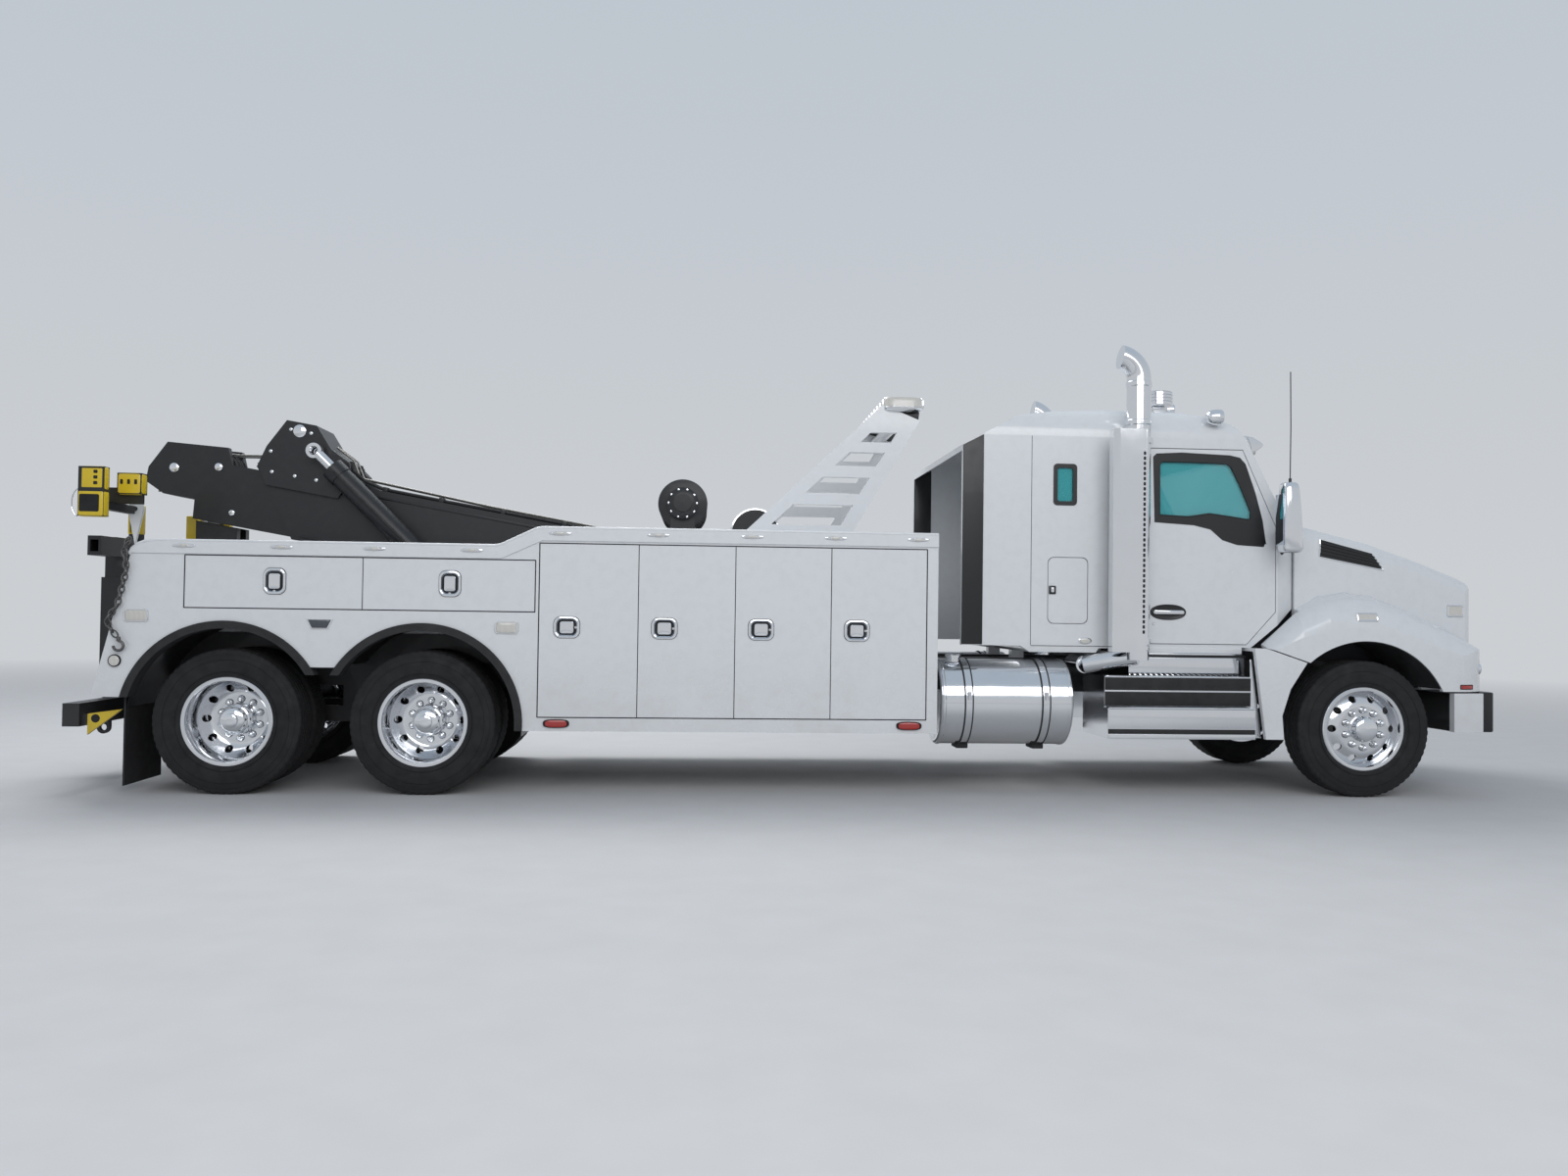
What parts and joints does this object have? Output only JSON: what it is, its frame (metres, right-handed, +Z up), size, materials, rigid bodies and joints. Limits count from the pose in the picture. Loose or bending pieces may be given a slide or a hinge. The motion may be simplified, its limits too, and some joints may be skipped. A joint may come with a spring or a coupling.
{
  "type": "heavy tow truck",
  "caption": "Heavy tow truck with a sleeper cab, locker body, recovery boom, light pylon and folding underlift.",
  "frame": {"origin": "on the ground, midway between the rearmost and the foremost point, on the centre line", "axes": "+X forward, +Y to the truck's left, +Z up"},
  "size_m": [10.86, 2.7, 3.395],
  "materials": {
    "white_paint": "gloss white paint",
    "boom_black": "gloss black paint",
    "chassis_black": "satin black paint",
    "chrome": "chrome plate",
    "polished": "polished aluminium",
    "engine": "painted iron",
    "glass": "tinted glass",
    "interior": "moulded plastic",
    "seat": "woven cloth",
    "lamp": "clear and amber lens",
    "rubber": "black rubber",
    "tyre": "black tyre rubber"
  },
  "bodies": {
    "chassis": {"axles": "chassis_black", "body_lamps": "lamp", "body_shell": "white_paint", "boom_mount": "boom_black", "cab_shell": "white_paint", "cab_steps": "polished", "dashboard": "interior", "engine": "engine", "exhaust_stacks": "chrome", "fixed_glass": "glass", "frame_rails": "chassis_black", "front_bumper": "white_paint", "fuel_tanks": "polished", "light_bar": "lamp", "light_pylon": "white_paint", "mirrors": "chrome", "roof_fittings": "white_paint", "seats": "seat", "sleeper_shell": "white_paint", "tailboard": "boom_black", "wheel_flares": "rubber", "winches": "boom_black"},
    "body_door_right_1": {"body_door_right_1": "white_paint"},
    "body_door_left_1": {"body_door_left_1": "white_paint"},
    "body_door_right_2": {"body_door_right_2": "white_paint"},
    "body_door_left_2": {"body_door_left_2": "white_paint"},
    "body_door_right_3": {"body_door_right_3": "white_paint"},
    "body_door_left_3": {"body_door_left_3": "white_paint"},
    "body_door_right_4": {"body_door_right_4": "white_paint"},
    "body_door_left_4": {"body_door_left_4": "white_paint"},
    "body_lid_right_1": {"body_lid_right_1": "white_paint"},
    "body_lid_left_1": {"body_lid_left_1": "white_paint"},
    "body_lid_right_2": {"body_lid_right_2": "white_paint"},
    "body_lid_left_2": {"body_lid_left_2": "white_paint"},
    "cab_door_right": {"cab_door_right": "white_paint", "door_glass_right": "glass"},
    "luggage_door_right": {"luggage_door_right": "white_paint"},
    "knuckle_right": {"knuckle_right": "chassis_black"},
    "wheel_front_right": {"wheel_front_right": "tyre"},
    "wheel_front_tandem_right": {"wheel_front_tandem_right": "tyre"},
    "wheel_rear_tandem_right": {"wheel_rear_tandem_right": "tyre"},
    "cab_door_left": {"cab_door_left": "white_paint", "door_glass_left": "glass"},
    "luggage_door_left": {"luggage_door_left": "white_paint"},
    "knuckle_left": {"knuckle_left": "chassis_black"},
    "wheel_front_left": {"wheel_front_left": "tyre"},
    "wheel_front_tandem_left": {"wheel_front_tandem_left": "tyre"},
    "wheel_rear_tandem_left": {"wheel_rear_tandem_left": "tyre"},
    "hood": {"hood_shell": "white_paint", "front_fenders": "white_paint", "grille": "chrome", "headlamps": "lamp"},
    "boom": {"boom_outer": "boom_black"},
    "boom_slide": {"boom_inner": "boom_black"},
    "lift_barrels": {"lift_barrels": "boom_black"},
    "lift_rods": {"lift_rods": "chrome"},
    "underlift_mast": {"underlift_mast": "boom_black"},
    "underlift_boom": {"underlift_boom": "boom_black"},
    "underlift_crossbar": {"underlift_crossbar": "boom_black"}
  },
  "joints": [
    {"name": "steer_right", "type": "hinge", "parent": "chassis", "child": "knuckle_right", "pos_m": [4.37, -0.88, 0.52], "axis": [0, 0, 1], "range_deg": [-35, 35]},
    {"name": "spin_front_right", "type": "hinge", "parent": "knuckle_right", "child": "wheel_front_right", "pos_m": [4.37, -1.04, 0.52], "axis": [0, 1, 0], "continuous": true},
    {"name": "spin_front_tandem_right", "type": "hinge", "parent": "chassis", "child": "wheel_front_tandem_right", "pos_m": [-2.67, -1.06, 0.52], "axis": [0, 1, 0], "continuous": true},
    {"name": "spin_rear_tandem_right", "type": "hinge", "parent": "chassis", "child": "wheel_rear_tandem_right", "pos_m": [-4.042, -1.06, 0.52], "axis": [0, 1, 0], "continuous": true},
    {"name": "cab_door_right", "type": "hinge", "parent": "chassis", "child": "cab_door_right", "pos_m": [3.725, -1.05, 1.7], "axis": [0, 0, 1], "range_deg": [0, 60]},
    {"name": "luggage_door_right", "type": "hinge", "parent": "chassis", "child": "luggage_door_right", "pos_m": [2.246, -1.06, 1.5], "axis": [0, 0, 1], "range_deg": [0, 90]},
    {"name": "body_door_right_1", "type": "hinge", "parent": "chassis", "child": "body_door_right_1", "pos_m": [-1.138, -1.27, 1.2], "axis": [0, 0, 1], "range_deg": [0, 90]},
    {"name": "body_door_right_2", "type": "hinge", "parent": "chassis", "child": "body_door_right_2", "pos_m": [-0.437, -1.27, 1.2], "axis": [0, 0, 1], "range_deg": [0, 90]},
    {"name": "body_door_right_3", "type": "hinge", "parent": "chassis", "child": "body_door_right_3", "pos_m": [0.265, -1.27, 1.2], "axis": [0, 0, 1], "range_deg": [0, 90]},
    {"name": "body_door_right_4", "type": "hinge", "parent": "chassis", "child": "body_door_right_4", "pos_m": [0.971, -1.27, 1.2], "axis": [0, 0, 1], "range_deg": [0, 90]},
    {"name": "body_lid_right_1", "type": "hinge", "parent": "chassis", "child": "body_lid_right_1", "pos_m": [-3.689, -1.27, 1.697], "axis": [-1, 0, 0], "range_deg": [0, 90]},
    {"name": "body_lid_right_2", "type": "hinge", "parent": "chassis", "child": "body_lid_right_2", "pos_m": [-2.475, -1.27, 1.697], "axis": [-1, 0, 0], "range_deg": [0, 90]},
    {"name": "steer_left", "type": "hinge", "parent": "chassis", "child": "knuckle_left", "pos_m": [4.37, 0.88, 0.52], "axis": [0, 0, 1], "range_deg": [-35, 35]},
    {"name": "spin_front_left", "type": "hinge", "parent": "knuckle_left", "child": "wheel_front_left", "pos_m": [4.37, 1.04, 0.52], "axis": [0, 1, 0], "continuous": true},
    {"name": "spin_front_tandem_left", "type": "hinge", "parent": "chassis", "child": "wheel_front_tandem_left", "pos_m": [-2.67, 1.06, 0.52], "axis": [0, 1, 0], "continuous": true},
    {"name": "spin_rear_tandem_left", "type": "hinge", "parent": "chassis", "child": "wheel_rear_tandem_left", "pos_m": [-4.042, 1.06, 0.52], "axis": [0, 1, 0], "continuous": true},
    {"name": "cab_door_left", "type": "hinge", "parent": "chassis", "child": "cab_door_left", "pos_m": [3.725, 1.05, 1.7], "axis": [0, 0, -1], "range_deg": [0, 60]},
    {"name": "luggage_door_left", "type": "hinge", "parent": "chassis", "child": "luggage_door_left", "pos_m": [2.246, 1.06, 1.5], "axis": [0, 0, -1], "range_deg": [0, 90]},
    {"name": "body_door_left_1", "type": "hinge", "parent": "chassis", "child": "body_door_left_1", "pos_m": [-1.138, 1.27, 1.2], "axis": [0, 0, -1], "range_deg": [0, 90]},
    {"name": "body_door_left_2", "type": "hinge", "parent": "chassis", "child": "body_door_left_2", "pos_m": [-0.437, 1.27, 1.2], "axis": [0, 0, -1], "range_deg": [0, 90]},
    {"name": "body_door_left_3", "type": "hinge", "parent": "chassis", "child": "body_door_left_3", "pos_m": [0.265, 1.27, 1.2], "axis": [0, 0, -1], "range_deg": [0, 90]},
    {"name": "body_door_left_4", "type": "hinge", "parent": "chassis", "child": "body_door_left_4", "pos_m": [0.971, 1.27, 1.2], "axis": [0, 0, -1], "range_deg": [0, 90]},
    {"name": "body_lid_left_1", "type": "hinge", "parent": "chassis", "child": "body_lid_left_1", "pos_m": [-3.689, 1.27, 1.697], "axis": [1, 0, 0], "range_deg": [0, 90]},
    {"name": "body_lid_left_2", "type": "hinge", "parent": "chassis", "child": "body_lid_left_2", "pos_m": [-2.475, 1.27, 1.697], "axis": [1, 0, 0], "range_deg": [0, 90]},
    {"name": "hood_tilt", "type": "hinge", "parent": "chassis", "child": "hood", "pos_m": [5.41, 0, 0.825], "axis": [0, 1, 0], "range_deg": [0, 60]},
    {"name": "boom_lift", "type": "hinge", "parent": "chassis", "child": "boom", "pos_m": [-0.88, 0, 1.65], "axis": [0, 1, 0], "range_deg": [0, 40]},
    {"name": "boom_extension", "type": "slide", "parent": "boom", "child": "boom_slide", "axis": [-0.9851, 0, 0.1719], "range_m": [0, 1.5]},
    {"name": "lift_swing", "type": "hinge", "parent": "chassis", "child": "lift_barrels", "pos_m": [-2.46, 0, 1.33], "axis": [0, 1, 0], "range_deg": [0, 45.95]},
    {"name": "lift_extension", "type": "slide", "parent": "lift_barrels", "child": "lift_rods", "axis": [-0.7164, 0, 0.6977], "range_m": [0, 1.0865]},
    {"name": "underlift_fold", "type": "hinge", "parent": "chassis", "child": "underlift_mast", "pos_m": [-5.19, 0, 0.56], "axis": [0, -1, 0], "range_deg": [0, 95]},
    {"name": "underlift_extension", "type": "slide", "parent": "underlift_mast", "child": "underlift_boom", "axis": [0, 0, 1], "range_m": [0, 0.8]},
    {"name": "crossbar_swivel", "type": "hinge", "parent": "underlift_boom", "child": "underlift_crossbar", "pos_m": [-5.3297, 0, 1.79], "axis": [1, 0, 0], "range_deg": [-25, 25]}
  ],
  "couplings": [
    {"joint": "lift_swing", "follows": "boom_lift", "ratio": 1.1364},
    {"joint": "lift_extension", "follows": "boom_lift", "m_per_rad": 1.5492},
    {"joint": "steer_left", "follows": "steer_right", "ratio": 1}
  ]
}
